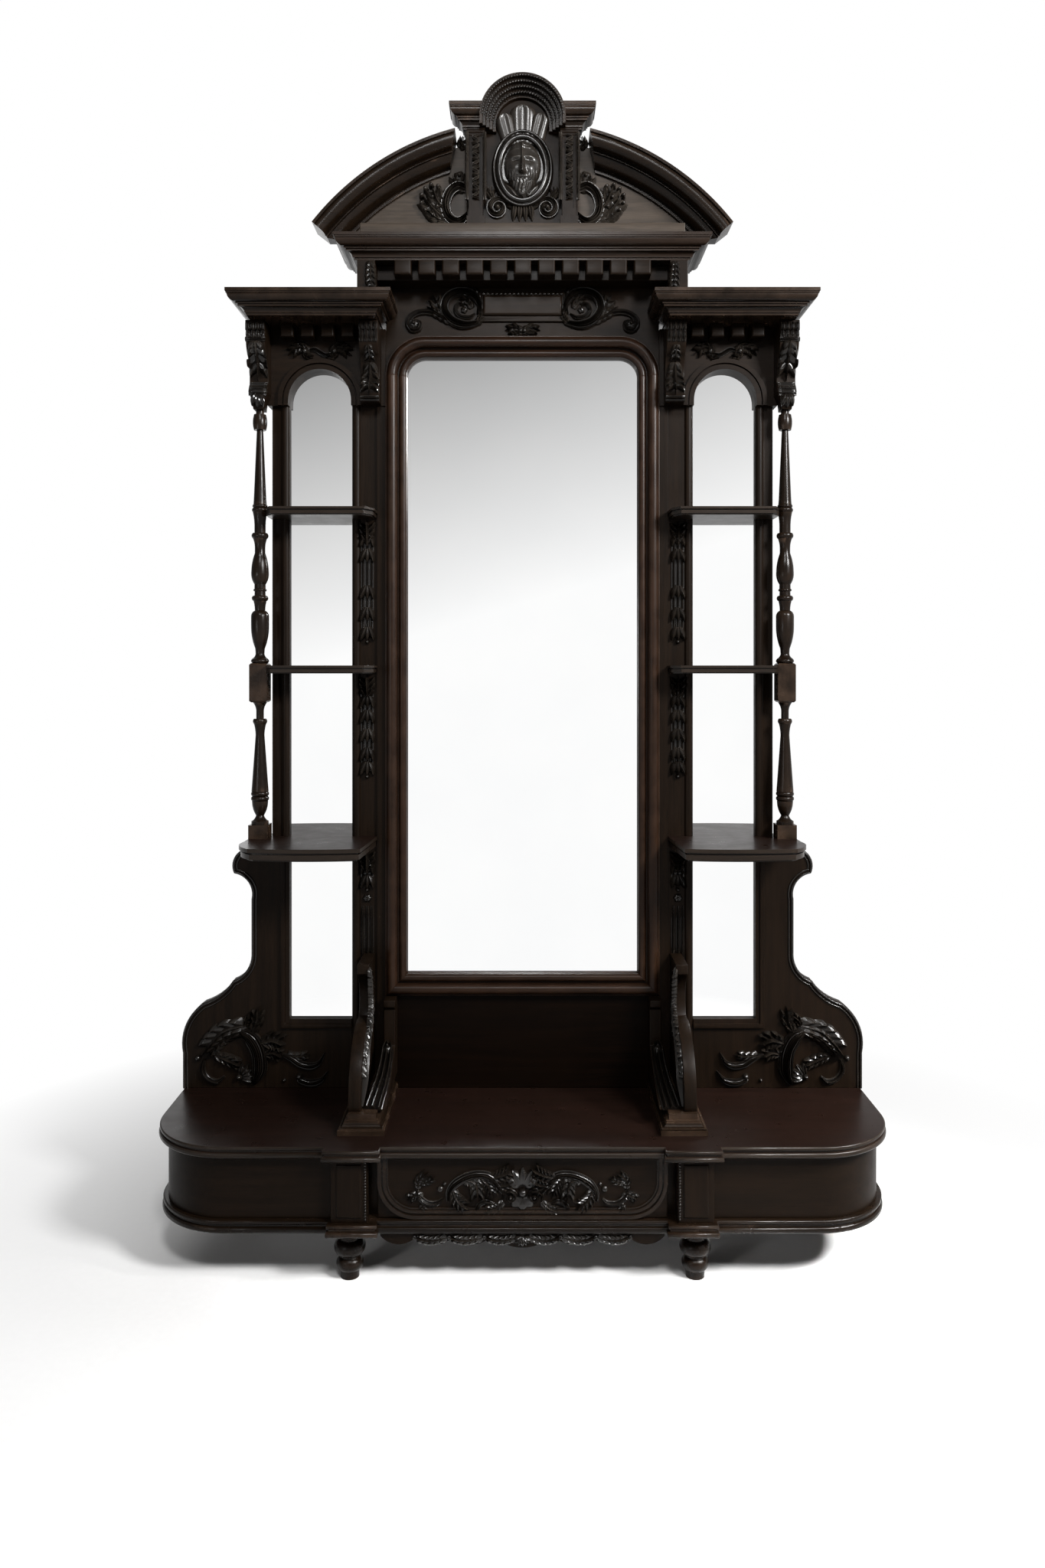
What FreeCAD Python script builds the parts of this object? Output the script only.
import FreeCAD, Part
import math
import os

# Tall hall mirror in carved dark wood, with a shelf bay on each side, on a console base with one drawer.
# Millimetres, +Z up, +X to the right, the front looks towards -Y, origin on the floor under the middle.
# Sizes named forward are measured from the face of the back boards towards the front.

V = FreeCAD.Vector

# Depths
back_depth = 45.0
block_forward = 379.0
deck_forward = 357.0
glass_thickness = 5.0
glass_recess = 10.0
backboard_thickness = 8.0

# Console base
base_half_width = 870.0
corner_radius = 195.0
foot_height = 120.0
foot_radius = 36.0
foot_offset = 6.6
foot_setback = 60.0
rear_foot_place = 690.0
rear_foot_inset = 50.0
bottom_thickness = 30.0
bottom_setback = 8.0
body_height = 143.0
top_thickness = 26.0
nosing_fillet = 6.0
nosing_round = 6.0
panel_setback = 22.0
panel_thickness = 18.0
post_margin = 19.0
base_post_width = 81.0
block_lap = 32.5
post_depth = 80.0
raised_panel = 4.0
raised_margin = 12.0
base_back_thickness = 12.0
partition_thickness = 20.0
apron_half_width = 322.0
apron_drop = 36.0
apron_thickness = 16.0
apron_setback = 20.0

# Drawer
drawer_half_width = 328.0
drawer_gap = 1.5
drawer_setback = 22.0
drawer_front_thickness = 20.0
drawer_side_thickness = 14.0
drawer_side_gap = 4.0
drawer_depth = 315.0
drawer_bottom_thickness = 6.0
drawer_head_room = 14.0
runner_width = 20.0
runner_height = 8.0
runner_gap = 0.3
drawer_mould_width = 24.0
drawer_mould_rise = 9.0
drawer_mould_radius = 85.0
drawer_carving_half = 245.0
carving_rise = 9.0

# Main mirror and frieze
glass_half_width = 295.0
frame_width = 55.0
glass_corner = 47.0
glass_lap = 12.0
frame_roll = 26.0
frame_bead = 13.0
lower_panel_height = 241.0
frieze_height = 126.0
tablet_half_width = 108.0
tablet_height = 52.0
tablet_lift = 53.0
tablet_border = 14.0
tablet_rise = 14.0
frieze_scroll = 47.0
frieze_scroll_place = 155.0

# Posts, stiles and wing boards
inner_post_width = 87.0
bead_radius = 11.0
bead_rise = 7.0
pane_width = 160.0
stile_width = 45.0
side_board = 32.0
wing_board_height = 616.0
wing_neck_margin = 54.0
wing_ear_reach = 51.0
wing_ear_height = 131.0
wing_overhang = 2.0
wing_side_height = 90.0
wing_shoulder_drop = 122.0
wing_shoulder = 340.0
lower_pane_sill = 178.0
sill_height = 22.0
sill_rise = 9.0

# Shelves
lower_shelf_thickness = 31.0
lower_shelf_forward = 220.0
lower_shelf_margin = 25.0
shelf_thickness = 20.0
shelf_forward = 98.0
shelf_margin = 22.0
shelf_corner = 36.0
lower_shelf_cant = 14.0
middle_shelf_rise = 417.0
upper_shelf_rise = 375.0

# Turned columns
column_height = 1083.0
column_margin = 24.0
column_forward = 32.0
column_radius = 22.4
column_neck = 10.0
base_block_height = 35.0
base_block_half = 24.3
block_half = 22.4
block_height = 99.0
block_lip = 6.0
block_bevel = 4.0

# Heads of the side bays
outer_console_height = 214.0
console_top_forward = 88.0
console_width = 48.0
arch_board_height = 196.0
arch_board_rise = 12.0
arch_board_margin = 9.0
arch_springing = 12.0
arch_ring = 27.0
arch_ring_rise = 9.0
side_cornice_height = 55.0
side_cornice_margin = 55.0
side_cornice_return = 30.0
side_cornice_forward = 165.0
side_cornice_throw = 42.0
side_dentil_width = 33.0
side_dentil_pitch = 51.0
side_dentil_height = 32.0
side_dentil_depth = 46.0
side_dentil_count = 4

# Main entablature
end_block_height = 90.0
end_block_width = 44.0
end_block_margin = 16.0
end_block_forward = 100.0
dentil_band_height = 37.0
dentil_band_forward = 58.0
dentil_count = 11
dentil_pitch = 59.5
dentil_width = 43.0
dentil_height = 36.0
dentil_bevel = 3.0
cornice_height = 53.0
cornice_margin = 53.0
cornice_forward = 143.0
cornice_throw = 46.0

# Pediment and crest
pediment_drop = 380.0
pediment_margin = 17.0
pediment_band = 69.0
pediment_forward = 140.0
pediment_gap = 27.0
pediment_return = 17.0
pediment_tip = 25.0
tympanum_forward = 60.0
tympanum_thickness = 25.0
tympanum_inset = 10.0
crest_plinth_half = 400.0
crest_plinth_height = 31.0
crest_plinth_forward = 118.0
crest_half_width = 138.0
crest_board_thickness = 20.0
crest_pilaster_width = 45.0
crest_pilaster_foot = 52.0
crest_pilaster_height = 216.0
crest_pilaster_rise = 30.0
crest_cornice_height = 55.0
crest_cornice_margin = 42.0
crest_cornice_forward = 135.0
crest_cornice_throw = 34.0
hood_radius = 106.0
hood_band = 40.0
hood_foot = 19.0
medallion_height = 175.0
medallion_half_width = 77.0
medallion_half_height = 98.0
medallion_band = 18.0
medallion_rise = 22.0
head_half_width = 40.0
head_half_height = 54.0
head_rise = 30.0
crest_scroll = 33.0
crest_scroll_place = 36.0
crest_scroll_height = 80.0

# Brackets standing on the deck
plinth_margin = 10.0
plinth_lap = 31.0
plinth_height = 42.0
plinth_forward = 295.0
outer_bracket_margin = 30.0
bracket_thickness = 29.0
outer_bracket_height = 305.0
inner_bracket_height = 198.0
bracket_toe = 260.0

# Applied carvings
wing_scroll = 66.0
wing_scroll_place = 722.0
wing_scroll_height = 78.0
husk_width = 34.0
husk_rise = 16.0
husk_length = 62.0
husk_gap = 8.0

# Levels worked out from the sizes above
rear_y = (back_depth + block_forward) / 2
face_y = rear_y - back_depth
glass_front_y = face_y + glass_recess
glass_back_y = glass_front_y + glass_thickness
board_back_y = glass_back_y + backboard_thickness
side_board_y = face_y + side_board
bottom_z = foot_height
body_z = bottom_z + bottom_thickness
body_top_z = body_z + body_height
deck_z = body_top_z + top_thickness
lower_shelf_z = deck_z + wing_board_height
lower_shelf_top = lower_shelf_z + lower_shelf_thickness
middle_shelf_z = lower_shelf_top + middle_shelf_rise
upper_shelf_z = middle_shelf_z + shelf_thickness + upper_shelf_rise
column_top = lower_shelf_top + column_height
side_cornice_z = column_top + outer_console_height
side_cornice_top = side_cornice_z + side_cornice_height
arch_board_z = side_cornice_z - arch_board_height
cornice_z = side_cornice_top + end_block_height
cornice_top = cornice_z + cornice_height
dentil_band_z = cornice_z - dentil_band_height
frieze_z = dentil_band_z - frieze_height
frame_z = deck_z + lower_panel_height
pediment_z = cornice_top - pediment_drop

# Places across the width, from the middle outwards
base_post_inner = drawer_half_width + drawer_gap + partition_thickness
block_inner = base_post_inner - block_lap
block_outer = base_post_inner + base_post_width + post_margin
foot_place = base_post_inner + 0.5 * base_post_width + foot_offset
frame_half = glass_half_width + frame_width
plinth_inner = frame_half - plinth_lap
side_cornice_inner = frame_half - side_cornice_return
end_block_inner = frame_half + end_block_margin
end_block_outer = end_block_inner + end_block_width
cornice_half_width = end_block_outer + cornice_margin
shelf_inner = frame_half + shelf_margin
post_outer = frame_half + inner_post_width
outer_bracket_outer = post_outer - outer_bracket_margin
plinth_outer = post_outer - plinth_margin
stile_inner = post_outer + pane_width
stile_outer = stile_inner + stile_width
arch_board_outer = stile_outer + arch_board_margin
column_place = stile_outer + column_margin
lower_shelf_outer = column_place + lower_shelf_margin
side_cornice_outer = column_place + side_cornice_margin
wing_neck = stile_outer + wing_neck_margin
wing_ear = wing_neck + wing_ear_reach
wing_foot = base_half_width + wing_overhang
pediment_inner = math.hypot(cornice_half_width - pediment_margin, pediment_drop)
pediment_outer = pediment_inner + pediment_band
pediment_break = crest_half_width + pediment_gap
tympanum_half = cornice_half_width - tympanum_inset
tympanum_radius = pediment_outer - tympanum_inset
crest_cornice_half = crest_half_width + crest_cornice_margin


def forward(distance):
    """Y of a plane that lies so far in front of the back boards' face."""
    return face_y - distance


def box(x0, x1, y0, y1, z0, z1):
    low = V(min(x0, x1), min(y0, y1), min(z0, z1))
    return Part.makeBox(abs(x1 - x0), abs(y1 - y0), abs(z1 - z0), low)


def outline(place, start, *moves):
    """Closed face. A move is a point to go straight to, or a pair: a point on an arc and the arc's end."""
    edges = []
    here = start
    for move in moves:
        if isinstance(move[0], tuple):
            through, end = move
            edges.append(Part.Arc(place(*here), place(*through), place(*end)).toShape())
        else:
            end = move
            edges.append(Part.LineSegment(place(*here), place(*end)).toShape())
        here = end
    if here != start:
        edges.append(Part.LineSegment(place(*here), place(*start)).toShape())
    return Part.Face(Part.Wire(edges))


def at_y(y):
    return lambda x, z: V(x, y, z)


def at_x(x):
    return lambda y, z: V(x, y, z)


def at_z(z):
    return lambda x, y: V(x, y, z)


def fused(*shapes):
    whole = shapes[0]
    for shape in shapes[1:]:
        whole = whole.fuse(shape)
    return whole.removeSplitter()


def mirrored(shape):
    return shape.mirror(V(0, 0, 0), V(1, 0, 0))


def pair(*shapes):
    """The left-hand pieces followed by their mirror images on the right."""
    return list(shapes) + [mirrored(shape) for shape in shapes]


def save(node, *solids):
    shape = solids[0] if len(solids) == 1 else Part.makeCompound(list(solids))
    shape.exportStep("parts/" + node + ".step")


def cheek(place, edge, far):
    """Face between an edge moulding, given from its foot to its top, and a straight line far behind it."""
    top = edge[-1][1] if isinstance(edge[-1][0], tuple) else edge[-1]
    return outline(place, (far, edge[0][1]), *edge, (far, top[1]))


def moulded_block(x0, x1, y_front, y_back, z0, edge):
    """Block whose front and ends carry the same edge moulding, mitred at the corners."""
    deep = y_back - y_front
    wide = x1 - x0
    front = cheek(lambda p, z: V(x0, y_front + p, z0 + z), edge, deep).extrude(V(wide, 0, 0))
    left = cheek(lambda p, z: V(x0 + p, y_front, z0 + z), edge, wide).extrude(V(0, deep, 0))
    right = cheek(lambda p, z: V(x1 - p, y_front, z0 + z), edge, wide).extrude(V(0, deep, 0))
    return front.common(left).common(right)


def cornice_edge(height, throw):
    """Foot fillet, hollow, two fillets, long round and top fillet, stepping outwards as it rises."""
    return [
        (throw, 0),
        (throw, 0.1 * height),
        (0.92 * throw, 0.1 * height),
        ((0.86 * throw, 0.24 * height), (0.66 * throw, 0.32 * height)),
        (0.6 * throw, 0.32 * height),
        (0.6 * throw, 0.41 * height),
        (0.5 * throw, 0.41 * height),
        (0.5 * throw, 0.48 * height),
        (0.43 * throw, 0.48 * height),
        ((0.2 * throw, 0.56 * height), (0.1 * throw, 0.78 * height)),
        (0.04 * throw, 0.78 * height),
        (0.04 * throw, 0.85 * height),
        (0, 0.85 * height),
        (0, height),
    ]


def plinth_edge(height, throw):
    """Square foot, hollow drawn in above it, fillet and a square top."""
    return [
        (0, 0),
        (0, 0.26 * height),
        (0.12 * throw, 0.26 * height),
        (0.12 * throw, 0.36 * height),
        ((0.42 * throw, 0.42 * height), (0.6 * throw, 0.6 * height)),
        (0.7 * throw, 0.6 * height),
        (0.7 * throw, 0.7 * height),
        (throw, 0.7 * height),
        (throw, height),
    ]


def deck_outline(z, inset, blocks=True):
    """Plan of the base boards: straight sides, rounded front corners and, if asked, the breakfront blocks."""
    half = base_half_width - inset
    front_y = forward(deck_forward - inset)
    block_y = forward(block_forward - inset)
    radius = corner_radius - inset
    turn = radius * (1 - math.sqrt(0.5))
    outer = block_outer - inset
    inner = block_inner + inset

    def front_step(side):
        if not blocks:
            return []
        ends = (outer, inner) if side < 0 else (inner, outer)
        x0, x1 = side * ends[0], side * ends[1]
        return [(x0, front_y), (x0, block_y), (x1, block_y), (x1, front_y)]

    return outline(
        at_z(z),
        (-half, rear_y),
        (-half, front_y + radius),
        ((-half + turn, front_y + turn), (-half + radius, front_y)),
        *front_step(-1),
        *front_step(1),
        (half - radius, front_y),
        ((half - turn, front_y + turn), (half, front_y + radius)),
        (half, rear_y),
    )


def deck_board(z, thickness, inset):
    """Board with a moulded edge: a rounded lower nosing, a sunk fillet and a rounded upper nosing."""

    def nosing(z0, height, set_back):
        def is_front(edge):
            bounds = edge.BoundBox
            return bounds.ZLength < 0.01 and bounds.YMin < rear_y - 0.01

        board = deck_outline(z0, set_back).extrude(V(0, 0, height))
        radius = min(nosing_round, 0.4 * height)
        return board.makeFillet(radius, [edge for edge in board.Edges if is_front(edge)])

    low = nosing(z, 0.5 * thickness, inset)
    sunk = deck_outline(z + 0.5 * thickness, inset + nosing_fillet).extrude(V(0, 0, 0.16 * thickness))
    high = nosing(z + 0.66 * thickness, 0.34 * thickness, inset + 0.3 * nosing_fillet)
    return fused(low, sunk, high)


def wing_panel():
    """Bowed board that closes the left end of the base, from its post round to the back."""
    outer = deck_outline(body_z, panel_setback, False).extrude(V(0, 0, body_height))
    inner = deck_outline(body_z, panel_setback + panel_thickness, False).extrude(V(0, 0, body_height))
    ring = outer.cut(inner)
    keep = box(-base_half_width, -block_outer + post_margin, forward(block_forward),
               rear_y - base_back_thickness, body_z, body_top_z)
    return ring.common(keep)


def base_post():
    """Pilaster post at the left of the drawer, with a raised panel on its front."""
    outer = -block_outer + post_margin
    inner = -base_post_inner
    front_y = forward(block_forward - panel_setback)
    post = box(outer, inner, front_y, front_y + post_depth, body_z, body_top_z)
    panel = box(outer + raised_margin, inner - raised_margin, front_y - raised_panel, front_y,
                body_z + raised_margin, body_top_z - raised_margin)
    front_edges = [e for e in panel.Edges if e.BoundBox.YMax < front_y - raised_panel + 0.01]
    panel = panel.makeChamfer(0.6 * raised_panel, front_edges)
    solid = fused(post, panel)
    wing = wing_panel()
    return solid.cut(wing)


def base_partition():
    """Board between the left post and the drawer, from behind the drawer front to the back of the base."""
    inner = -drawer_half_width - drawer_gap
    return box(inner - partition_thickness, inner, drawer_inner_y, rear_y - base_back_thickness,
               body_z, body_top_z)


def base_back():
    half = base_half_width - panel_setback
    return box(-half, half, rear_y - base_back_thickness, rear_y, body_z, body_top_z)


drawer_face_y = forward(deck_forward - drawer_setback)
drawer_inner_y = drawer_face_y + drawer_front_thickness
drawer_rear_y = drawer_inner_y + drawer_depth
drawer_side_x = drawer_half_width + drawer_gap - drawer_side_gap
drawer_floor_z = body_z + runner_height + runner_gap


def drawer_runner():
    """Strip on the bottom board, against the left partition, that the drawer side slides on."""
    outer = -drawer_half_width - drawer_gap
    return box(outer, outer + runner_width, drawer_inner_y + runner_gap, rear_y - base_back_thickness,
               body_z, body_z + runner_height)


def drawer_front():
    return box(-drawer_half_width, drawer_half_width, drawer_face_y, drawer_inner_y,
               body_z + drawer_gap, body_top_z - drawer_gap)


def drawer_moulding():
    """Border strip down both ends of the drawer front and along its foot, with rounded lower corners."""

    def border(inset, rise):
        half = drawer_half_width - inset
        foot = body_z + drawer_gap + inset
        top = body_top_z - drawer_gap
        radius = drawer_mould_radius - inset
        turn = radius * (1 - math.sqrt(0.5))
        face = outline(
            at_y(drawer_face_y),
            (-half, top),
            (-half, foot + radius),
            ((-half + turn, foot + turn), (-half + radius, foot)),
            (half - radius, foot),
            ((half - turn, foot + turn), (half, foot + radius)),
            (half, top),
        )
        return face.extrude(V(0, -rise, 0))

    def band(start, end, rise):
        wide = border(start * drawer_mould_width, rise * drawer_mould_rise)
        return wide.cut(border(end * drawer_mould_width, drawer_mould_rise))

    return fused(band(0, 0.36, 1), band(0.36, 0.5, 0.4), band(0.5, 0.8, 0.75), band(0.8, 1, 0.35))


def drawer_side():
    return box(-drawer_side_x, -drawer_side_x + drawer_side_thickness, drawer_inner_y, drawer_rear_y,
               drawer_floor_z, body_top_z - drawer_head_room)


def drawer_back():
    half = drawer_side_x - drawer_side_thickness
    return box(-half, half, drawer_rear_y - drawer_side_thickness, drawer_rear_y,
               drawer_floor_z + drawer_bottom_thickness, body_top_z - drawer_head_room)


def drawer_bottom():
    half = drawer_side_x - drawer_side_thickness
    return box(-half, half, drawer_inner_y, drawer_rear_y,
               drawer_floor_z, drawer_floor_z + drawer_bottom_thickness)


def turned(axis_x, axis_y, start, *moves):
    """Solid of revolution about an upright axis. The moves give radius and height from foot to top."""
    last = moves[-1][1] if isinstance(moves[-1][0], tuple) else moves[-1]
    face = outline(at_y(0), (0, start[1]), start, *moves, (0, last[1]))
    solid = face.revolve(V(0, 0, 0), V(0, 0, 1), 360)
    solid.translate(V(axis_x, axis_y, 0))
    return solid


def foot(x, y):
    """Turned foot: a small toe, a low bulb, a wider upper bulb and a collar."""
    toe = 0.6 * foot_radius
    neck = 0.62 * foot_radius
    low_bulb = 0.86 * foot_radius
    return turned(
        x, y,
        (toe, 0),
        (toe, 0.14 * foot_height),
        ((low_bulb, 0.27 * foot_height), (neck, 0.4 * foot_height)),
        (neck, 0.43 * foot_height),
        ((foot_radius, 0.58 * foot_height), (neck, 0.73 * foot_height)),
        (neck, 0.77 * foot_height),
        (0.84 * foot_radius, 0.8 * foot_height),
        (0.84 * foot_radius, 0.9 * foot_height),
        (foot_radius, 0.9 * foot_height),
        (foot_radius, foot_height),
    )


def apron():
    """Scalloped board hung under the front of the base, deepest in the middle."""
    y = forward(deck_forward - apron_setback)
    half = apron_half_width
    shallow = bottom_z - 0.55 * apron_drop
    deep = bottom_z - apron_drop
    end = bottom_z - 0.25 * apron_drop
    middle = 0.22 * half
    scallops = 3
    step = (half - middle) / scallops
    moves = [(-half, end)]
    for n in range(scallops):
        x0 = -half + n * step
        moves.append(((x0 + 0.5 * step, shallow - 0.25 * apron_drop), (x0 + step, end)))
    moves.append(((0, deep), (middle, end)))
    for n in range(scallops):
        x0 = middle + n * step
        moves.append(((x0 + 0.5 * step, shallow - 0.25 * apron_drop), (x0 + step, end)))
    moves.append((half, bottom_z))
    return outline(at_y(y), (-half, bottom_z), *moves).extrude(V(0, apron_thickness, 0))


def half_ring(x, z, y, radius, band, depth, start):
    """Half of a flat ring in the front plane, from the start angle and against the clock."""
    whole = Part.makeCylinder(radius, depth, V(x, y, z), V(0, -1, 0))
    bore = Part.makeCylinder(radius - band, depth, V(x, y, z), V(0, -1, 0))
    turn = math.radians(start)
    along = V(math.cos(turn), 0, math.sin(turn)) * radius
    up = V(-math.sin(turn), 0, math.cos(turn)) * radius
    middle = V(x, y, z)
    corners = [middle - along, middle + along, middle + along + up, middle - along + up]
    side = Part.Face(Part.makePolygon(corners + corners[:1])).extrude(V(0, -depth, 0))
    return whole.cut(bore).common(side)


def scroll(x, z, y, radius, depth, start, halves=3):
    """Carved volute: half rings that shrink by one band a half turn, and an eye in the middle."""
    band = 0.26 * radius
    shrink = 0.27 * radius
    parts = []
    angle = start
    for n in range(halves):
        parts.append(half_ring(x, z, y, radius, band, depth, angle))
        turn = math.radians(angle + 180)
        x += math.cos(turn) * shrink
        z += math.sin(turn) * shrink
        radius -= shrink
        angle += 180
    parts.append(Part.makeCylinder(max(radius, band), depth, V(x, y, z), V(0, -1, 0)))
    return fused(*parts)


def drawer_carving():
    """Row of running scrolls each side of a middle boss."""
    z = 0.5 * (body_z + body_top_z)
    radius = 0.25 * body_height
    big = scroll(-0.42 * drawer_carving_half, z, drawer_face_y, radius, carving_rise, 0)
    small = scroll(-drawer_carving_half + 0.8 * radius, z, drawer_face_y, 0.8 * radius, carving_rise, 180)
    boss = Part.makeCylinder(0.9 * radius, carving_rise, V(0, drawer_face_y, z), V(0, -1, 0))
    return [boss] + pair(big, small)


frame_corner_x = glass_half_width - glass_corner
frame_corner_z = frieze_z - frame_width - glass_corner


def frame_face(place):
    """Section of the mirror frame, across from its outer edge: fillet, roll, groove and inner bead."""
    seat = face_y - glass_front_y
    roll_start = 0.05 * frame_width
    roll_end = 0.54 * frame_width
    bead_start = 0.6 * frame_width
    lip = 0.97 * frame_width
    shoulder = 0.55 * frame_roll
    return outline(
        place,
        (0, seat),
        (0, shoulder),
        (roll_start, shoulder),
        ((0.5 * (roll_start + roll_end), frame_roll), (roll_end, shoulder)),
        (roll_end, 0.3 * frame_bead),
        (bead_start, 0.3 * frame_bead),
        ((0.5 * (bead_start + lip), frame_bead), (lip, 0)),
        (frame_width, -0.3 * frame_bead),
        (frame_width, seat),
    )


def mitre_wedge(keep_upright):
    """Waste on one side of the mitre line at the frame's lower left corner."""
    low = (-frame_half, frame_z)
    high = (-frame_half + frame_width, frame_z + frame_width)
    waste = (high[0], low[1]) if keep_upright else (low[0], high[1])
    face = outline(at_y(forward(1.1 * frame_roll)), low, waste, high)
    return face.extrude(V(0, 1.2 * (glass_front_y - forward(frame_roll)), 0))


def frame_side():
    """Left length of the frame, mitred at its foot."""
    face = frame_face(lambda u, d: V(-frame_half + u, forward(d), frame_z))
    return face.extrude(V(0, 0, frame_corner_z - frame_z)).cut(mitre_wedge(True))


def frame_bottom():
    face = frame_face(lambda u, d: V(-frame_half, forward(d), frame_z + u))
    rail = face.extrude(V(2 * frame_half, 0, 0))
    waste = mitre_wedge(False)
    return rail.cut(waste).cut(mirrored(waste))


def frame_top():
    """Top length of the frame with both of its rounded corners."""
    corner_face = frame_face(lambda u, d: V(-frame_half + u, forward(d), frame_corner_z))
    corner = corner_face.revolve(V(-frame_corner_x, 0, frame_corner_z), V(0, 1, 0), 90)
    face = frame_face(lambda u, d: V(-frame_corner_x, forward(d), frieze_z - u))
    rail = face.extrude(V(2 * frame_corner_x, 0, 0))
    return fused(corner, rail, mirrored(corner))


def main_mirror():
    half = glass_half_width + glass_lap
    low = frame_z + frame_width - glass_lap
    high = frieze_z - frame_width + glass_lap
    return box(-half, half, glass_front_y, glass_back_y, low, high)


def main_backboard():
    return box(-frame_half, frame_half, glass_back_y, board_back_y, frame_z, frieze_z)


def lower_panel():
    return box(-frame_half, frame_half, face_y, glass_back_y, deck_z, frame_z)


def frieze_board():
    """Board over the mirror, scribed round the frame's rounded corners and widened between the end blocks."""
    board = box(-frame_half, frame_half, face_y, glass_back_y, frame_corner_z, dentil_band_z)
    head = box(-end_block_inner, end_block_inner, face_y, glass_back_y, side_cornice_top, dentil_band_z)
    radius = glass_corner + frame_width
    turn = radius * math.sqrt(0.5)
    opening = outline(
        at_y(face_y),
        (-frame_half, frame_corner_z),
        ((-frame_corner_x - turn, frame_corner_z + turn), (-frame_corner_x, frieze_z)),
        (frame_corner_x, frieze_z),
        ((frame_corner_x + turn, frame_corner_z + turn), (frame_half, frame_corner_z)),
    ).extrude(V(0, glass_back_y - face_y, 0))
    return fused(board, head).cut(opening)


tablet_z = frieze_z + tablet_lift


def frieze_tablet():
    """Raised tablet in the middle of the frieze, on a wider ground with a border above and below."""
    step = 0.5 * tablet_rise
    low = box(-tablet_half_width, tablet_half_width, forward(step), face_y,
              tablet_z - tablet_border, tablet_z + tablet_height + 0.6 * tablet_border)
    high = box(-tablet_half_width + step, tablet_half_width - step, forward(tablet_rise), forward(step),
               tablet_z, tablet_z + tablet_height)
    front = [e for e in high.Edges if e.BoundBox.YMax < forward(tablet_rise) + 0.01]
    return fused(low, high.makeChamfer(0.6 * step, front))


def frieze_carving():
    """Volute beside the tablet with a smaller one running out from it."""
    middle = tablet_z + 0.5 * tablet_height
    big = scroll(-frieze_scroll_place - 0.2 * frieze_scroll, middle, face_y, frieze_scroll, carving_rise, 90)
    small_radius = 0.55 * frieze_scroll
    small_x = -frieze_scroll_place - 2.65 * frieze_scroll
    small = scroll(small_x, middle - 0.85 * frieze_scroll, face_y, small_radius, carving_rise, 180)
    return big, small


def inner_post():
    """Post between the main mirror and the left side bay, with a bead outside and a flat fillet inside."""
    post = box(-post_outer, -frame_half, face_y, rear_y, deck_z, side_cornice_z)
    bead_y = face_y + bead_radius - bead_rise
    bead = Part.makeCylinder(bead_radius, arch_board_z - deck_z, V(-post_outer + bead_radius, bead_y, deck_z))
    fillet = box(-frame_half - 2 * bead_radius, -frame_half, forward(bead_rise), face_y, deck_z, arch_board_z)
    return fused(post, bead, fillet)


def outer_stile():
    """Stile between the left side bay and the column, with a bead along the glass."""
    stile = box(-stile_outer, -stile_inner, face_y, rear_y, lower_shelf_top, arch_board_z)
    bead_y = face_y + bead_radius - bead_rise
    height = arch_board_z - lower_shelf_top
    bead = Part.makeCylinder(bead_radius, height, V(-stile_inner - bead_radius, bead_y, lower_shelf_top))
    return fused(stile, bead)


def wing_board():
    """Shaped lower board: a round ear under the shelf, a neck and a long shoulder down to the deck."""
    neck_top = lower_shelf_z - wing_ear_height
    shoulder = deck_z + wing_shoulder
    slope = shoulder - wing_shoulder_drop
    spread = wing_foot - wing_neck
    board = outline(
        at_y(face_y),
        (-post_outer, deck_z),
        (-wing_foot, deck_z),
        (-wing_foot, deck_z + wing_side_height),
        ((-wing_foot + 0.09 * spread, slope - 0.3 * (slope - deck_z - wing_side_height)),
         (-wing_foot + 0.3 * spread, slope)),
        ((-wing_foot + 0.6 * spread, slope + 0.25 * wing_shoulder_drop),
         (-wing_neck - 0.27 * spread, slope + 0.47 * wing_shoulder_drop)),
        ((-wing_neck - 0.07 * spread, slope + 0.69 * wing_shoulder_drop), (-wing_neck, shoulder)),
        (-wing_neck, neck_top),
        ((-wing_neck - 0.25 * wing_ear_reach, neck_top + 0.37 * wing_ear_height),
         (-wing_ear + 0.12 * wing_ear_reach, neck_top + 0.5 * wing_ear_height)),
        ((-wing_ear + 0.07 * wing_ear_reach, neck_top + 0.75 * wing_ear_height),
         (-wing_ear + wing_ear_reach, lower_shelf_z)),
        (-post_outer, lower_shelf_z),
    ).extrude(V(0, side_board, 0))
    sill_z = deck_z + lower_pane_sill
    opening = box(-stile_inner, -post_outer, face_y, glass_front_y, sill_z, lower_shelf_z)

    def border(width, rise):
        return box(-stile_inner - width, -post_outer, forward(rise), face_y, sill_z - width, lower_shelf_z)

    step = 0.5 * sill_height
    outer = border(sill_height, sill_rise).cut(border(step, sill_rise))
    inner = border(step, 0.5 * sill_rise).cut(border(0, sill_rise))
    return fused(board.cut(opening).cut(pane_rebate()[1]), outer, inner)


def side_panes(y0, y1):
    """Glass or backboard of the left bay: one pane above the lower shelf and one below it."""
    upper_top = arch_z + pane_half + glass_lap
    upper = box(-stile_inner, -post_outer, y0, y1, lower_shelf_top, upper_top)
    lower_foot = deck_z + lower_pane_sill - glass_lap
    lower = box(-stile_inner - glass_lap, -post_outer, y0, y1, lower_foot, lower_shelf_z)
    return upper, lower


def pane_rebate():
    """Room behind the left bay's boards for its glass and backboards."""
    return side_panes(glass_front_y, side_board_y)


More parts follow.
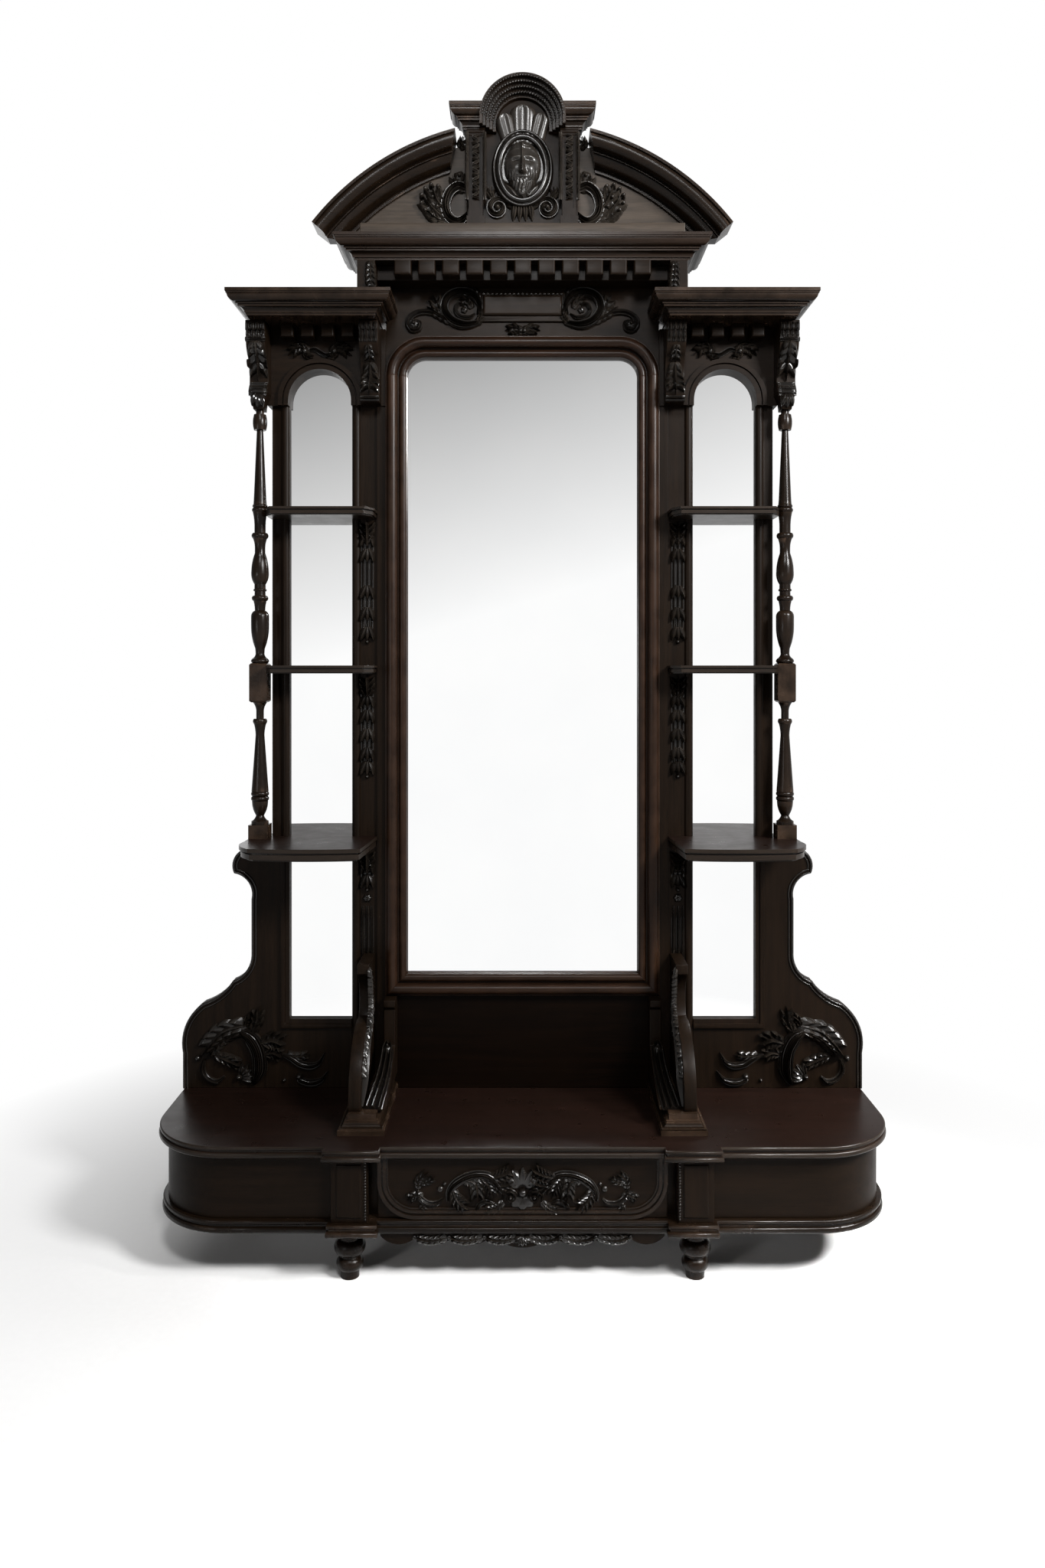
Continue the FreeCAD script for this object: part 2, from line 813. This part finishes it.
def shelf(z):
    """Small shelf from the column to the post, with a canted inner corner and a tongue back to the glass."""
    outer = -column_place + column_radius
    front_y = forward(shelf_forward)

    def layer(z0, thickness, inset):
        return outline(
            at_z(z0),
            (outer, face_y),
            (outer, front_y + shelf_corner),
            (outer + 0.4 * shelf_corner + inset, front_y + inset),
            (-shelf_inner - 0.55 * shelf_corner - inset, front_y + inset),
            (-shelf_inner - inset, front_y + shelf_corner + inset),
            (-shelf_inner - inset, face_y),
            (-post_outer, face_y),
            (-post_outer, glass_front_y),
            (-stile_inner, glass_front_y),
            (-stile_inner, face_y),
        ).extrude(V(0, 0, thickness))

    return lined_board(layer, z, shelf_thickness).cut(inner_post()).cut(outer_stile())


def lined_board(layer, z, thickness):
    """Shelf board whose edge has a set-back foot, a round, a sunk line and a top fillet."""
    foot = 0.14 * thickness
    round_height = 0.4 * thickness
    line = 0.16 * thickness
    top = thickness - foot - round_height - line
    return fused(
        layer(z, foot, 0.35 * thickness),
        layer(z + foot, round_height, 0.12 * thickness),
        layer(z + foot + round_height, line, 0.3 * thickness),
        layer(z + thickness - top, top, 0),
    )


def lower_shelf():
    """Deep shelf under the column, with a bowed front, a round outer corner and a raked inner end."""

    def layer(z0, thickness, inset):
        front_y = forward(lower_shelf_forward - inset)
        outer = -lower_shelf_outer + inset
        inner = -shelf_inner - inset
        bow = 0.05 * lower_shelf_forward
        return outline(
            at_z(z0),
            (outer, rear_y),
            (outer, front_y + 0.55 * lower_shelf_forward),
            ((outer + 0.3 * shelf_corner, front_y + 0.2 * lower_shelf_forward),
             (outer + shelf_corner, front_y + bow)),
            ((0.5 * (outer + inner), front_y), (inner - lower_shelf_cant, front_y + bow)),
            (inner, face_y),
            (-post_outer, face_y),
            (-post_outer, rear_y),
        ).extrude(V(0, 0, thickness))

    return lined_board(layer, lower_shelf_z, lower_shelf_thickness).cut(inner_post())


class Turning:
    """Turner's profile, built upwards: each call adds one length to the radius and height moves."""

    def __init__(self, z, radius):
        self.start = (radius, z)
        self.moves = []
        self.z = z
        self.radius = radius

    def step(self, radius):
        if not math.isclose(radius, self.radius):
            self.moves.append((radius, self.z))
        self.radius = radius

    def taper(self, height, radius):
        self.z += height
        self.moves.append((radius, self.z))
        self.radius = radius

    def bow(self, height, bulge, radius):
        half_way = (0.5 * (self.radius + radius) + bulge, self.z + 0.5 * height)
        self.z += height
        self.moves.append((half_way, (radius, self.z)))
        self.radius = radius

    def ring(self, height, radius, after):
        self.step(0.85 * radius)
        self.bow(height, 0.15 * radius, 0.85 * radius)
        self.step(after)

    def solid(self, x, y):
        return turned(x, y, self.start, *self.moves)


def column():
    """Left column: square base, turned lower length, square block at a shelf, turned upper length."""
    x = -column_place
    y = forward(column_forward)
    wide = column_radius
    neck = column_neck
    block_top = middle_shelf_z + shelf_thickness + block_lip
    block_z = block_top - block_height
    base_top = lower_shelf_top + base_block_height
    base = box(x - base_block_half, x + base_block_half, y - base_block_half, y + base_block_half,
               lower_shelf_top, base_top)
    block = box(x - block_half, x + block_half, y - block_half, y + block_half, block_z, block_top)
    block = block.makeChamfer(block_bevel, [edge for edge in block.Edges if edge.BoundBox.ZLength < 0.01])

    lower = Turning(base_top, 0.96 * wide)
    lower.taper(0.36 * wide, 0.96 * wide)
    lower.bow(0.62 * wide, -0.12 * wide, neck)
    lower.bow(1.65 * wide, 0.12 * wide, 0.9 * wide)
    lower.ring(0.54 * wide, wide, 0.85 * wide)
    lower.ring(0.54 * wide, wide, 0.95 * wide)
    lower_head = 3.7 * wide
    lower.taper(block_z - lower_head - lower.z, 1.1 * neck)
    lower.bow(1.25 * wide, -0.08 * neck, 1.5 * neck)
    lower.ring(0.6 * wide, 0.8 * wide, 0.95 * neck)
    lower.taper(0.7 * wide, 0.95 * neck)
    lower.bow(block_z - lower.z, -0.12 * wide, 0.8 * wide)

    upper = Turning(block_top, 0.8 * wide)
    upper.ring(0.5 * wide, wide, 0.9 * wide)
    upper.bow(0.55 * wide, -0.1 * wide, 1.1 * neck)
    upper.taper(0.6 * wide, 1.2 * neck)
    upper.bow(2.7 * wide, 0.14 * wide, wide)
    upper.taper(wide, wide)
    upper.bow(0.62 * wide, 0.12 * wide, 1.3 * neck)
    upper.bow(1.1 * wide, -0.04 * wide, 1.65 * neck)
    upper.ring(0.55 * wide, 0.92 * wide, 1.4 * neck)
    upper.taper(0.5 * wide, 1.35 * neck)
    upper.ring(0.3 * wide, 0.74 * wide, 1.4 * neck)
    upper.taper(0.5 * wide, 1.4 * neck)
    upper.bow(1.3 * wide, 0.12 * wide, 0.98 * wide)
    upper.bow(2.25 * wide, 0.1 * wide, 1.3 * neck)
    upper.taper(0.6 * wide, 1.3 * neck)
    upper.bow(1.05 * wide, -0.05 * wide, 1.75 * neck)
    upper.ring(0.6 * wide, 0.94 * wide, 1.4 * neck)
    upper.taper(0.9 * wide, 1.4 * neck)
    upper.bow(1.45 * wide, -0.04 * wide, 0.8 * wide)
    upper.ring(0.5 * wide, 0.9 * wide, 0.78 * wide)
    upper.ring(0.4 * wide, 0.84 * wide, 0.74 * wide)
    upper.taper(0.5 * wide, 0.7 * wide)
    upper_head = 2.2 * wide
    upper.taper(column_top - upper_head - upper.z, 0.8 * neck)
    upper.ring(1.75 * wide, 0.8 * wide, neck)
    upper.taper(column_top - upper.z, neck)
    return fused(base, lower.solid(x, y), block, upper.solid(x, y))


pane_half = 0.5 * (stile_inner - post_outer)
pane_x = -0.5 * (stile_inner + post_outer)
arch_z = arch_board_z + arch_springing


def arch_shape(y, depth, radius):
    """Arch-topped solid standing on the foot of the left head board."""
    face = outline(
        at_y(y),
        (pane_x - radius, arch_board_z),
        (pane_x - radius, arch_z),
        ((pane_x, arch_z + radius), (pane_x + radius, arch_z)),
        (pane_x + radius, arch_board_z),
    )
    return face.extrude(V(0, depth, 0))


def arch_board():
    """Head board of the left bay, lapped over the post, pierced by the arch, with two beads round it."""
    front_y = forward(arch_board_rise)
    body = box(-arch_board_outer, -post_outer, front_y, side_board_y, arch_board_z, side_cornice_z)
    lap = box(-post_outer, -frame_half, front_y, face_y, arch_board_z, side_cornice_z)
    ring_y = front_y - arch_ring_rise
    step_y = front_y - 0.2 * arch_ring_rise
    ring = arch_shape(ring_y, front_y - ring_y, pane_half + arch_ring)
    groove = arch_shape(ring_y, step_y - ring_y, pane_half + 0.58 * arch_ring)
    bead = arch_shape(ring_y, step_y - ring_y, pane_half + 0.44 * arch_ring)
    inner = arch_shape(ring_y, glass_front_y - ring_y, pane_half)
    return fused(body, lap, ring).cut(groove.cut(bead)).cut(inner).cut(pane_rebate()[0])


def console(x0, x1, z0, z1):
    """Scroll-shaped corbel: a drop at its foot, a hollow, a swelling head and a square cap."""
    seat = arch_board_rise
    reach = console_top_forward - seat
    height = z1 - z0

    def at(share, level):
        return seat + share * reach, z0 + level * height

    face = outline(
        lambda d, z: V(x0, forward(d), z),
        at(0, 0),
        at(0.5, 0),
        (at(0.62, 0.14), at(0.42, 0.3)),
        (at(0.42, 0.42), at(0.6, 0.58)),
        (at(0.88, 0.7), at(0.92, 0.88)),
        at(1, 0.88),
        at(1, 1),
        at(0, 1),
    )
    return face.extrude(V(x1 - x0, 0, 0))


def outer_console():
    """Console over the left column, drawn in at its foot to the column's head."""
    x0 = -column_place - 0.5 * console_width
    x1 = x0 + console_width
    neck = 1.3 * column_neck
    shoulder = column_top + 0.2 * outer_console_height
    hip = column_top + 0.07 * outer_console_height
    shape = outline(
        at_y(forward(console_top_forward)),
        (-column_place - neck, column_top),
        ((x0 + 0.2 * console_width, hip), (x0, shoulder)),
        (x0, side_cornice_z),
        (x1, side_cornice_z),
        (x1, shoulder),
        ((x1 - 0.2 * console_width, hip), (-column_place + neck, column_top)),
    ).extrude(V(0, console_top_forward, 0))
    return console(x0, x1, column_top, side_cornice_z).common(shape)


def inner_console():
    x1 = -frame_half - 0.22 * console_width
    return console(x1 - console_width, x1, arch_board_z, side_cornice_z)


def side_cornice():
    """Moulded cap of the left bay, cut round the middle bay behind its inner return."""
    cap = moulded_block(-side_cornice_outer, -side_cornice_inner, forward(side_cornice_forward), rear_y,
                        side_cornice_z, cornice_edge(side_cornice_height, side_cornice_throw))
    middle = box(-frame_half, frame_half, face_y, rear_y, side_cornice_z, side_cornice_top)
    return cap.cut(middle)


def dentil(x, width, y_front, y_back, z_top, height):
    """Tooth under a cornice with a bevel round its face."""
    tooth = box(x, x + width, y_front, y_back, z_top - height, z_top)
    front = [e for e in tooth.Edges if e.BoundBox.YMax < y_front + 0.01 and e.BoundBox.ZMin < z_top - 1]
    return tooth.makeChamfer(dentil_bevel, front)


def side_dentils():
    y_back = forward(arch_board_rise)
    first = pane_x - 0.5 * (side_dentil_count - 1) * side_dentil_pitch - 0.5 * side_dentil_width
    teeth = []
    for n in range(side_dentil_count):
        x = first + n * side_dentil_pitch
        teeth.append(dentil(x, side_dentil_width, y_back - side_dentil_depth, y_back,
                            side_cornice_z, side_dentil_height))
    return teeth


def main_dentils():
    first = -0.5 * (dentil_count - 1) * dentil_pitch - 0.5 * dentil_width
    teeth = []
    for n in range(dentil_count):
        teeth.append(dentil(first + n * dentil_pitch, dentil_width, forward(end_block_forward),
                            forward(dentil_band_forward), cornice_z, dentil_height))
    return teeth


def dentil_band():
    return box(-end_block_inner, end_block_inner, forward(dentil_band_forward), rear_y,
               dentil_band_z, cornice_z)


def end_block():
    return box(-end_block_outer, -end_block_inner, forward(end_block_forward), rear_y,
               side_cornice_top, cornice_z)


def main_cornice():
    return moulded_block(-cornice_half_width, cornice_half_width, forward(cornice_forward), rear_y, cornice_z,
                         cornice_edge(cornice_height, cornice_throw))


def tympanum():
    """Flat panel behind the broken arch, with a plinth along its foot that the crest stands on."""
    shoulder = pediment_z + math.sqrt(tympanum_radius ** 2 - tympanum_half ** 2)
    panel = outline(
        at_y(crest_back_y),
        (-tympanum_half, cornice_top),
        (-tympanum_half, shoulder),
        ((0, pediment_z + tympanum_radius), (tympanum_half, shoulder)),
        (tympanum_half, cornice_top),
    ).extrude(V(0, tympanum_thickness, 0))
    plinth = box(-crest_plinth_half, crest_plinth_half, forward(crest_plinth_forward), crest_back_y,
                 cornice_top, crest_plinth_z)
    return fused(panel, plinth.cut(crest_board()))


def pediment_arch():
    """Left half of the broken arch: a turned moulding, cut square at its foot and slanted at the crest."""
    reach = pediment_forward - tympanum_forward

    def at(share, level):
        return pediment_inner + share * pediment_band, tympanum_forward + level * reach

    section = outline(
        lambda r, d: V(-r, forward(d), pediment_z),
        at(0, 0),
        at(0, 0.1),
        at(0.12, 0.1),
        (at(0.2, 0.38), at(0.42, 0.5)),
        at(0.42, 0.6),
        at(0.5, 0.6),
        (at(0.62, 0.92), at(0.9, 0.94)),
        at(0.9, 1),
        at(1, 1),
        at(1, 0),
    )
    turned_band = section.revolve(V(0, 0, pediment_z), V(0, 1, 0), 90)
    foot_turn = math.asin((pediment_drop + pediment_tip) / pediment_outer)

    def foot_point(radius):
        return -radius * math.cos(foot_turn), pediment_z + radius * math.sin(foot_turn)

    def arc_level(x, radius):
        return pediment_z + math.sqrt(radius ** 2 - x ** 2)

    top = pediment_z + 1.1 * pediment_outer
    inner_break = pediment_break + pediment_return
    keep = outline(
        at_y(forward(pediment_forward)),
        foot_point(0.9 * pediment_inner),
        foot_point(1.1 * pediment_outer),
        (-1.1 * pediment_outer, top),
        (-pediment_break, top),
        (-pediment_break, arc_level(pediment_break, pediment_outer)),
        (-inner_break, arc_level(inner_break, pediment_inner)),
        (-inner_break, foot_point(0.9 * pediment_inner)[1]),
    ).extrude(V(0, reach, 0))
    over_cornice = box(-1.1 * pediment_outer, 0, forward(pediment_forward), crest_back_y, cornice_top, top)
    return turned_band.common(keep).common(over_cornice)


crest_back_y = forward(tympanum_forward)
crest_face_y = crest_back_y - crest_board_thickness
crest_plinth_z = cornice_top + crest_plinth_height
crest_pilaster_z = cornice_top + crest_pilaster_foot
crest_cornice_z = crest_pilaster_z + crest_pilaster_height
hood_z = crest_cornice_z + hood_foot
medallion_z = cornice_top + medallion_height


def crest_board():
    """Board behind the crest, with a round head inside the hood."""
    head = hood_radius - hood_band
    face = outline(
        at_y(crest_back_y),
        (-crest_half_width, cornice_top),
        (-crest_half_width, crest_cornice_z),
        (-head, crest_cornice_z),
        (-head, hood_z),
        ((0, hood_z + head), (head, hood_z)),
        (head, crest_cornice_z),
        (crest_half_width, crest_cornice_z),
        (crest_half_width, cornice_top),
    )
    return face.extrude(V(0, -crest_board_thickness, 0))


def crest_pilaster():
    """Left pilaster of the crest: plinth, shaft with a sunk face and a moulded cap."""
    x0 = -crest_half_width
    x1 = x0 + crest_pilaster_width
    front_y = crest_face_y - crest_pilaster_rise
    lip = 0.12 * crest_pilaster_width
    plinth = box(x0, x1, front_y, crest_face_y, crest_plinth_z, crest_pilaster_z)
    shaft = box(x0 + lip, x1 - lip, front_y + lip, crest_face_y, crest_pilaster_z, crest_cornice_z)
    cap = moulded_block(x0, x1, front_y, crest_face_y, crest_cornice_z - 4 * lip, cornice_edge(4 * lip, lip))
    sunk = box(x0 + 2 * lip, x1 - 2 * lip, front_y + lip, front_y + 1.5 * lip,
               crest_pilaster_z + 4 * lip, crest_cornice_z - 6 * lip)
    return fused(plinth, shaft, cap).cut(sunk)


def crest_cornice():
    """Left cornice block of the crest, hollowed where the hood springs from it."""
    front_y = forward(crest_cornice_forward)
    block = moulded_block(-crest_cornice_half, -hood_radius + hood_band, front_y, crest_back_y,
                          crest_cornice_z, cornice_edge(crest_cornice_height, crest_cornice_throw))
    return block.cut(hood_shape(hood_radius, front_y, crest_back_y))


def hood_shape(radius, y_front, y_back):
    face = outline(
        at_y(y_back),
        (-radius, crest_cornice_z),
        (-radius, hood_z),
        ((0, hood_z + radius), (radius, hood_z)),
        (radius, crest_cornice_z),
    )
    return face.extrude(V(0, y_front - y_back, 0))


def crest_hood():
    """Round-headed hood in steps, the outermost standing furthest forward."""
    rings = 5
    step = hood_band / rings
    reach = crest_cornice_forward - tympanum_forward - crest_board_thickness
    parts = []
    for n in range(rings):
        outer = hood_radius - n * step
        front_y = forward(crest_cornice_forward - n * reach / rings)
        whole = hood_shape(outer, front_y, crest_back_y)
        parts.append(whole.cut(hood_shape(outer - step, front_y, crest_back_y)))
    return fused(*parts)


def oval(y, half_width, half_height):
    """Upright oval face round the medallion's centre."""
    middle = V(0, y, medallion_z)
    curve = Part.Ellipse(middle + V(0, 0, half_height), middle + V(half_width, 0, 0), middle)
    return Part.Face(Part.Wire(curve.toShape()))


def medallion():
    """Oval frame with a stepped rim and a thin dished ground inside it."""
    rim = 0.5 * medallion_band
    ground = 0.3 * medallion_rise

    def plate(inset, rise):
        face = oval(crest_face_y, medallion_half_width - inset, medallion_half_height - inset)
        return face.extrude(V(0, -rise, 0))

    outer = plate(0, 0.7 * medallion_rise).cut(plate(rim, 0.7 * medallion_rise))
    inner = plate(rim, medallion_rise).cut(plate(medallion_band, medallion_rise))
    return fused(outer, inner, plate(medallion_band, ground))


def medallion_head():
    """Plain block of a head in relief: an upright oval that narrows forwards in two steps."""
    sides = 12
    ground_y = crest_face_y - 0.3 * medallion_rise

    def ring(share, rise):
        corners = []
        for n in range(sides):
            turn = 2 * math.pi * n / sides
            x = share * head_half_width * math.sin(turn)
            z = medallion_z + share * head_half_height * math.cos(turn)
            corners.append(V(x, ground_y - rise, z))
        return Part.makePolygon(corners + corners[:1])

    rings = [ring(0.9, 0), ring(1, 0.3 * head_rise), ring(0.8, 0.75 * head_rise), ring(0.4, head_rise)]
    return Part.makeLoft(rings, True, True)


def crest_carving():
    """Scrolls beside the crest and the leaf that fills its hood."""
    place = -crest_half_width - crest_scroll_place
    z = cornice_top + crest_scroll_height
    big = scroll(place, z, crest_back_y, crest_scroll, 1.6 * carving_rise, 270)
    small = scroll(place - 1.7 * crest_scroll, z, crest_back_y, 0.65 * crest_scroll, 1.3 * carving_rise, 180)
    half = 0.45 * hood_radius
    foot = medallion_z + 1.04 * medallion_half_height
    top = hood_z + 0.36 * hood_radius
    leaf = outline(
        at_y(crest_face_y),
        (-0.5 * half, foot),
        ((-half, foot + 0.45 * (top - foot)), (-0.45 * half, top - 0.15 * (top - foot))),
        ((0, top), (0.45 * half, top - 0.15 * (top - foot))),
        ((half, foot + 0.45 * (top - foot)), (0.5 * half, foot)),
    ).extrude(V(0, -2 * carving_rise, 0))
    return [leaf] + pair(big, small)


def bracket_plinth():
    """Moulded plinth on the deck under the left pair of brackets."""
    block = moulded_block(-plinth_outer, -plinth_inner, forward(plinth_forward), face_y, deck_z,
                          plinth_edge(plinth_height, 0.5 * plinth_height))
    return block.cut(inner_post())


bracket_z = deck_z + plinth_height


def outer_bracket():
    """Taller bracket: a long scroll on the plinth, a hollow above its step and a cap."""
    top = bracket_z + outer_bracket_height
    middle = bracket_z + 0.56 * outer_bracket_height
    hollow = middle + 0.2 * outer_bracket_height
    cap = 0.45 * bracket_toe
    face = outline(
        lambda d, z: V(-outer_bracket_outer, forward(d), z),
        (0, bracket_z),
        (bracket_toe, bracket_z),
        ((0.86 * bracket_toe, bracket_z + 0.38 * outer_bracket_height), (0.52 * bracket_toe, middle)),
        (0.34 * bracket_toe, middle),
        ((0.3 * bracket_toe, hollow), (0.92 * cap, top - 0.24 * cap)),
        (cap, top - 0.2 * cap),
        (cap, top),
        (0, top),
    )
    return face.extrude(V(bracket_thickness, 0, 0))


def inner_bracket():
    """Lower bracket against the panel under the mirror: a hollow sweep up to a straight neck and a cap."""
    top = bracket_z + inner_bracket_height
    neck = 0.18 * bracket_toe
    face = outline(
        lambda d, z: V(-frame_half, forward(d), z),
        (0, bracket_z),
        (0.95 * bracket_toe, bracket_z),
        ((0.5 * bracket_toe, bracket_z + 0.2 * inner_bracket_height),
         (neck, bracket_z + 0.42 * inner_bracket_height)),
        (neck, top - 0.5 * neck),
        (1.2 * neck, top - 0.35 * neck),
        (1.2 * neck, top),
        (0, top),
    )
    return face.extrude(V(bracket_thickness, 0, 0))


def wing_carving():
    """Large volute near the outer edge of the left wing board, with two smaller ones running inwards."""
    z = deck_z + wing_scroll_height
    big = scroll(-wing_scroll_place, z, face_y, wing_scroll, 1.5 * carving_rise, 90)
    x = -wing_scroll_place + 1.5 * wing_scroll
    middle = scroll(x, z + 0.4 * wing_scroll, face_y, 0.45 * wing_scroll, 1.3 * carving_rise, 0)
    x += 1.35 * wing_scroll
    small = scroll(x, z - 0.42 * wing_scroll, face_y, 0.55 * wing_scroll, carving_rise, 180)
    return big, middle, small


def husk(z_top):
    """One hanging bud, half sunk in the face of the left post."""
    x = -post_outer + 0.45 * inner_post_width
    half = 0.5 * husk_width
    bud = turned(
        x, face_y,
        (0.15 * half, z_top - husk_length),
        ((half, z_top - 0.45 * husk_length), (0.45 * half, z_top)),
    )
    room = box(x - husk_width, x + husk_width, face_y - husk_width, face_y, z_top - husk_length, z_top)
    return bud.common(room)


def husk_drops():
    """Buds strung down the left post under each of its three shelves."""
    buds = []
    for shelf_z, count in ((upper_shelf_z, 4), (middle_shelf_z, 3), (lower_shelf_z, 2)):
        for n in range(count):
            buds.append(husk(shelf_z - husk_gap - n * (husk_length + husk_gap)))
    return buds


def build_base():
    save("base_bottom", deck_board(bottom_z, bottom_thickness, bottom_setback))
    save("base_top", deck_board(body_top_z, top_thickness, 0))
    save("wing_panels", *pair(wing_panel()))
    save("base_posts", *pair(base_post()))
    save("drawer_partitions", *pair(base_partition()))
    save("drawer_runners", *pair(drawer_runner()))
    save("base_back", base_back())
    front_foot = foot(-foot_place, forward(deck_forward) + foot_setback)
    rear_foot = foot(-rear_foot_place, rear_y - rear_foot_inset)
    save("feet", *pair(front_foot, rear_foot))
    save("apron", apron())


def build_drawer():
    save("drawer_front", drawer_front())
    save("drawer_moulding", drawer_moulding())
    save("drawer_carving", *drawer_carving())
    save("drawer_sides", *pair(drawer_side()))
    save("drawer_back", drawer_back())
    save("drawer_bottom", drawer_bottom())


def build_middle():
    save("main_mirror", main_mirror())
    save("main_backboard", main_backboard())
    save("frame_left", frame_side())
    save("frame_right", mirrored(frame_side()))
    save("frame_top", frame_top())
    save("frame_bottom", frame_bottom())
    save("lower_panel", lower_panel())
    save("frieze_board", frieze_board())
    save("frieze_tablet", frieze_tablet())
    save("frieze_carving", *pair(*frieze_carving()))
    save("dentil_band", dentil_band())
    save("main_dentils", *main_dentils())
    save("main_cornice", main_cornice())
    save("end_blocks", *pair(end_block()))


def build_crown():
    save("tympanum", tympanum())
    save("pediment_arch_left", pediment_arch())
    save("pediment_arch_right", mirrored(pediment_arch()))
    save("crest_board", crest_board())
    save("crest_pilasters", *pair(crest_pilaster()))
    save("crest_cornices", *pair(crest_cornice()))
    save("crest_hood", crest_hood())
    save("medallion", medallion())
    save("medallion_head", medallion_head())
    save("crest_carving", *crest_carving())


def build_sides():
    save("inner_posts", *pair(inner_post()))
    save("outer_stiles", *pair(outer_stile()))
    save("wing_boards", *pair(wing_board()))
    save("arch_boards", *pair(arch_board()))
    save("side_mirrors", *pair(*side_panes(glass_front_y, glass_back_y)))
    save("side_backboards", *pair(*side_panes(glass_back_y, board_back_y)))
    save("lower_shelves", *pair(lower_shelf()))
    save("middle_shelves", *pair(shelf(middle_shelf_z)))
    save("upper_shelves", *pair(shelf(upper_shelf_z)))
    save("columns", *pair(column()))
    save("outer_consoles", *pair(outer_console()))
    save("inner_consoles", *pair(inner_console()))
    save("side_cornices", *pair(side_cornice()))
    save("side_dentils", *pair(*side_dentils()))
    save("bracket_plinths", *pair(bracket_plinth()))
    save("outer_brackets", *pair(outer_bracket()))
    save("inner_brackets", *pair(inner_bracket()))
    save("wing_carvings", *pair(*wing_carving()))
    save("husk_drops", *pair(*husk_drops()))


os.makedirs("parts", exist_ok=True)
build_base()
build_drawer()
build_middle()
build_crown()
build_sides()
